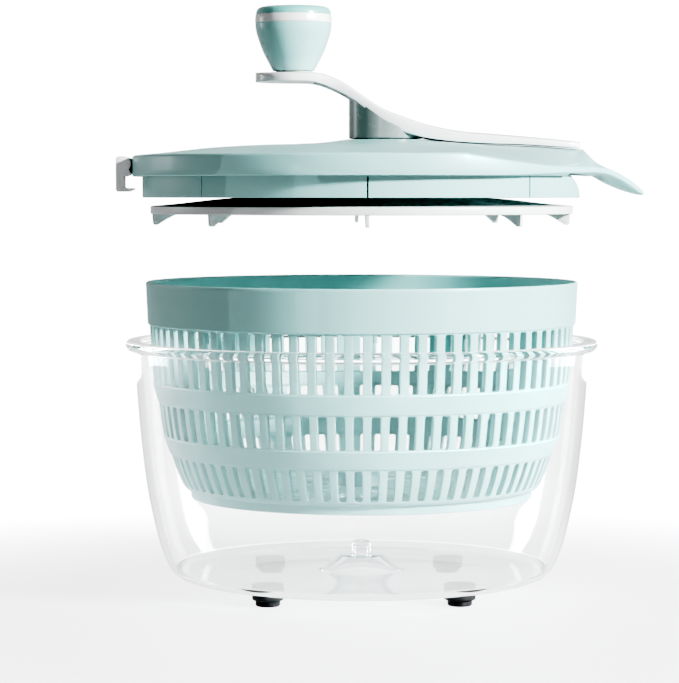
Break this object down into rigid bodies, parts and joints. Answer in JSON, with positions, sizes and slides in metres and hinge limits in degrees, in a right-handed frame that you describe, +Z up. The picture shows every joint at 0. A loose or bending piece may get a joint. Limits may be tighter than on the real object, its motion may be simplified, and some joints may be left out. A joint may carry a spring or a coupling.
{
  "type": "salad spinner",
  "caption": "Hand-cranked salad spinner lifted apart: clear bowl on rubber feet, slotted basket, geared lid with crank, knob and latch, and a finned drive plate.",
  "frame": {"origin": "on the bowl's axis, on the plane that the four rubber feet stand on", "axes": "+Z up along the bowl's axis; +X towards the lid's lifting beak, -X towards the latch"},
  "size_m": [0.2712, 0.243, 0.302],
  "materials": {
    "clear_bowl": "clear, polished",
    "rubber": "matt black",
    "mint_basket": "satin mint",
    "mint_lid": "satin mint",
    "mint_knob": "smooth mint",
    "white_plastic": "glossy white",
    "grey_plastic": "satin light grey",
    "white_plate": "satin white",
    "bush_plastic": "natural acetal",
    "steel": "bright"
  },
  "bodies": {
    "bowl": {"bowl": "clear_bowl", "bowl_feet": "rubber"},
    "basket_pivot": {"basket_bush": "bush_plastic", "bush_ring": "steel"},
    "basket": {"basket": "mint_basket"},
    "lid": {"lid_cover": "mint_lid", "lid_skirt": "mint_lid", "crank_bush": "bush_plastic", "gear_cover": "grey_plastic", "cover_screws": "steel", "shaft_bush": "bush_plastic"},
    "latch": {"latch_clip": "white_plastic", "latch_pin": "steel"},
    "crank": {"crank_arm": "white_plastic", "crank_hub": "grey_plastic", "crank_shaft": "steel", "crank_screw": "steel", "ring_gear": "bush_plastic", "knob_axle": "steel", "knob_washer": "bush_plastic", "axle_ring": "steel"},
    "drive": {"drive_pinion": "bush_plastic", "drive_shaft": "steel", "drive_plate": "white_plate", "plate_nut": "steel"},
    "knob": {"knob_grip": "mint_knob", "knob_band": "white_plastic", "knob_cap": "mint_knob"}
  },
  "joints": [
    {"name": "basket_lift", "type": "slide", "parent": "bowl", "child": "basket_pivot", "axis": [0, 0, 1], "range_m": [-0.0345, 0]},
    {"name": "lid_lift", "type": "slide", "parent": "basket_pivot", "child": "lid", "axis": [0, 0, 1], "range_m": [-0.0491, 0]},
    {"name": "crank_turn", "type": "hinge", "parent": "lid", "child": "crank", "pos_m": [0.0125, 0, 0.2148], "axis": [0, 0, 1], "continuous": true},
    {"name": "drive_spin", "type": "hinge", "parent": "lid", "child": "drive", "pos_m": [0, 0, 0.2148], "axis": [0, 0, 1], "continuous": true},
    {"name": "basket_spin", "type": "hinge", "parent": "basket_pivot", "child": "basket", "pos_m": [0, 0, 0.055], "axis": [0, 0, 1], "continuous": true},
    {"name": "knob_spin", "type": "hinge", "parent": "crank", "child": "knob", "pos_m": [-0.035, 0, 0.2748], "axis": [0, 0, 1], "continuous": true},
    {"name": "latch_swing", "type": "hinge", "parent": "lid", "child": "latch", "pos_m": [-0.122, 0, 0.221], "axis": [0, 1, 0], "range_deg": [0, 40]}
  ],
  "couplings": [
    {"joint": "drive_spin", "follows": "crank_turn", "ratio": 3},
    {"joint": "basket_spin", "follows": "crank_turn", "ratio": 3}
  ]
}
